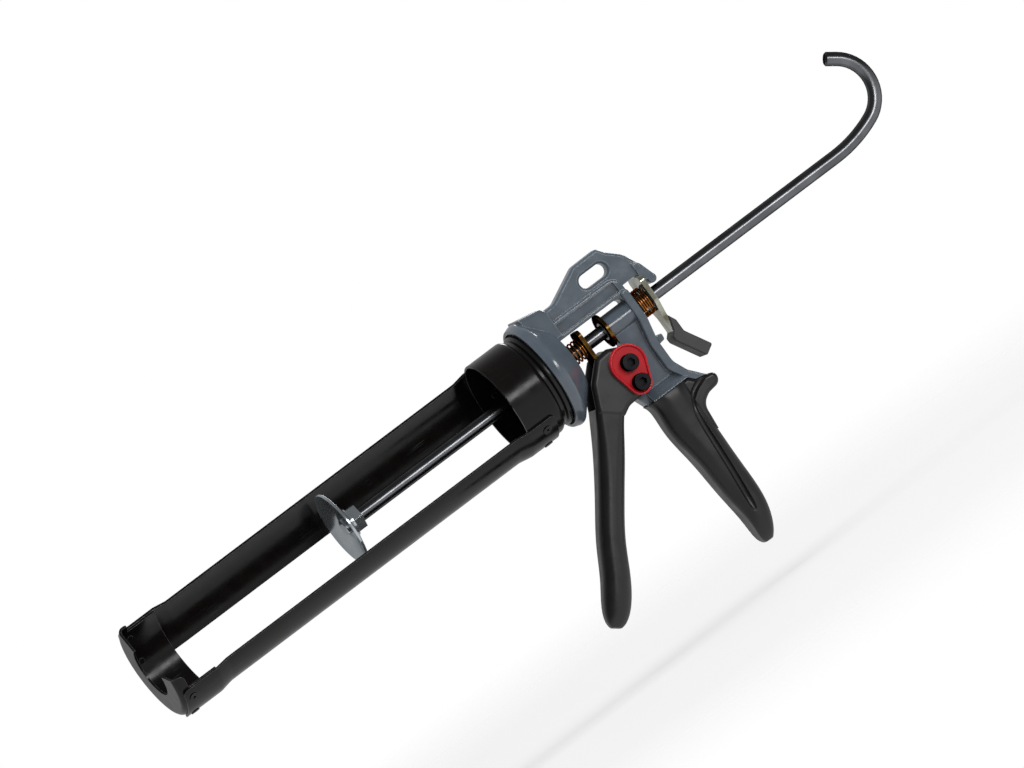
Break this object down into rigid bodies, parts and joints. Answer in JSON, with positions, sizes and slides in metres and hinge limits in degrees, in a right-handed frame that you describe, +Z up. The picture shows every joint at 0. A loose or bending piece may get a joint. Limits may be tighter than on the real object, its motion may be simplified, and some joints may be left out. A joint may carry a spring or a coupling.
{
  "type": "caulking gun",
  "caption": "Skeleton caulking gun with a turning open cradle, hooked push rod and dished piston, forked trigger, thumb release and a cast handle with a sleeved grip.",
  "frame": {"origin": "On the barrel axis at the rear face of the cradle's cup.", "axes": "+X runs along the barrel from the muzzle to the hook, +Z is up and the grip hangs down, +Y is the far side, with the nuts."},
  "size_m": [0.4659, 0.0586, 0.1718],
  "materials": {
    "black_steel": "black satin coating on pressed steel",
    "black_collar": "black moulded nylon",
    "black_oxide": "black oxide steel",
    "zinc_steel": "bright zinc plated steel",
    "yellow_zinc": "yellow passivated zinc plate",
    "nickel_plate": "bright nickel plated steel",
    "copper_wire": "copper washed spring wire",
    "grey_casting": "blue grey powder coated die casting",
    "black_casting": "black powder coated die casting",
    "black_grip": "satin black moulded plastic",
    "black_dip": "matt black dipped plastisol",
    "red_plastic": "gloss red moulded plastic"
  },
  "bodies": {
    "frame": {"frame_casting": "grey_casting", "grip_sleeve": "black_grip", "guide_washer": "yellow_zinc", "pivot_bush": "zinc_steel", "drive_spring": "copper_wire", "release_spring": "copper_wire"},
    "cradle": {"cradle_front_cap": "black_steel", "cradle_rail_near": "black_steel", "cradle_rail_far": "black_steel", "cradle_cup": "black_steel", "rail_rivets": "black_steel", "swivel_collar": "black_collar", "swivel_hub": "zinc_steel", "swivel_clip": "black_oxide"},
    "rod": {"push_rod": "black_oxide", "piston_disc": "zinc_steel", "disc_washer": "zinc_steel", "disc_nut": "zinc_steel", "disc_screw": "zinc_steel"},
    "trigger": {"trigger_lever": "black_casting", "pivot_cap_near": "red_plastic", "pivot_cap_far": "red_plastic", "pivot_bolt": "black_oxide", "pivot_nut": "black_oxide", "cross_bolt": "black_oxide", "cross_nut": "black_oxide"},
    "drive": {"drive_plate": "yellow_zinc"},
    "release": {"release_plate": "nickel_plate", "thumb_tab": "black_dip"}
  },
  "joints": [
    {"name": "cradle_spin", "type": "hinge", "parent": "frame", "child": "cradle", "pos_m": [0, 0, 0], "axis": [1, 0, 0], "continuous": true},
    {"name": "rod_slide", "type": "slide", "parent": "frame", "child": "rod", "axis": [1, 0, 0], "range_m": [-0.114, 0.104]},
    {"name": "trigger_pull", "type": "hinge", "parent": "frame", "child": "trigger", "pos_m": [0.0419, 0, -0.0184], "axis": [0, -1, 0], "range_deg": [0, 28], "stiffness_Nm_per_rad": 0.5, "springref_deg": -20.05},
    {"name": "drive_slide", "type": "slide", "parent": "frame", "child": "drive", "axis": [-1, 0, 0], "range_m": [0, 0.0037], "deforming": ["drive_spring"]},
    {"name": "release_press", "type": "hinge", "parent": "frame", "child": "release", "pos_m": [0.0734, 0, 0.01], "axis": [0, 1, 0], "range_deg": [0, 6], "stiffness_Nm_per_rad": 0.6, "springref_deg": -6.88, "deforming": ["release_spring"]}
  ],
  "couplings": [
    {"joint": "drive_slide", "follows": "trigger_pull", "m_per_rad": 0.00747}
  ]
}
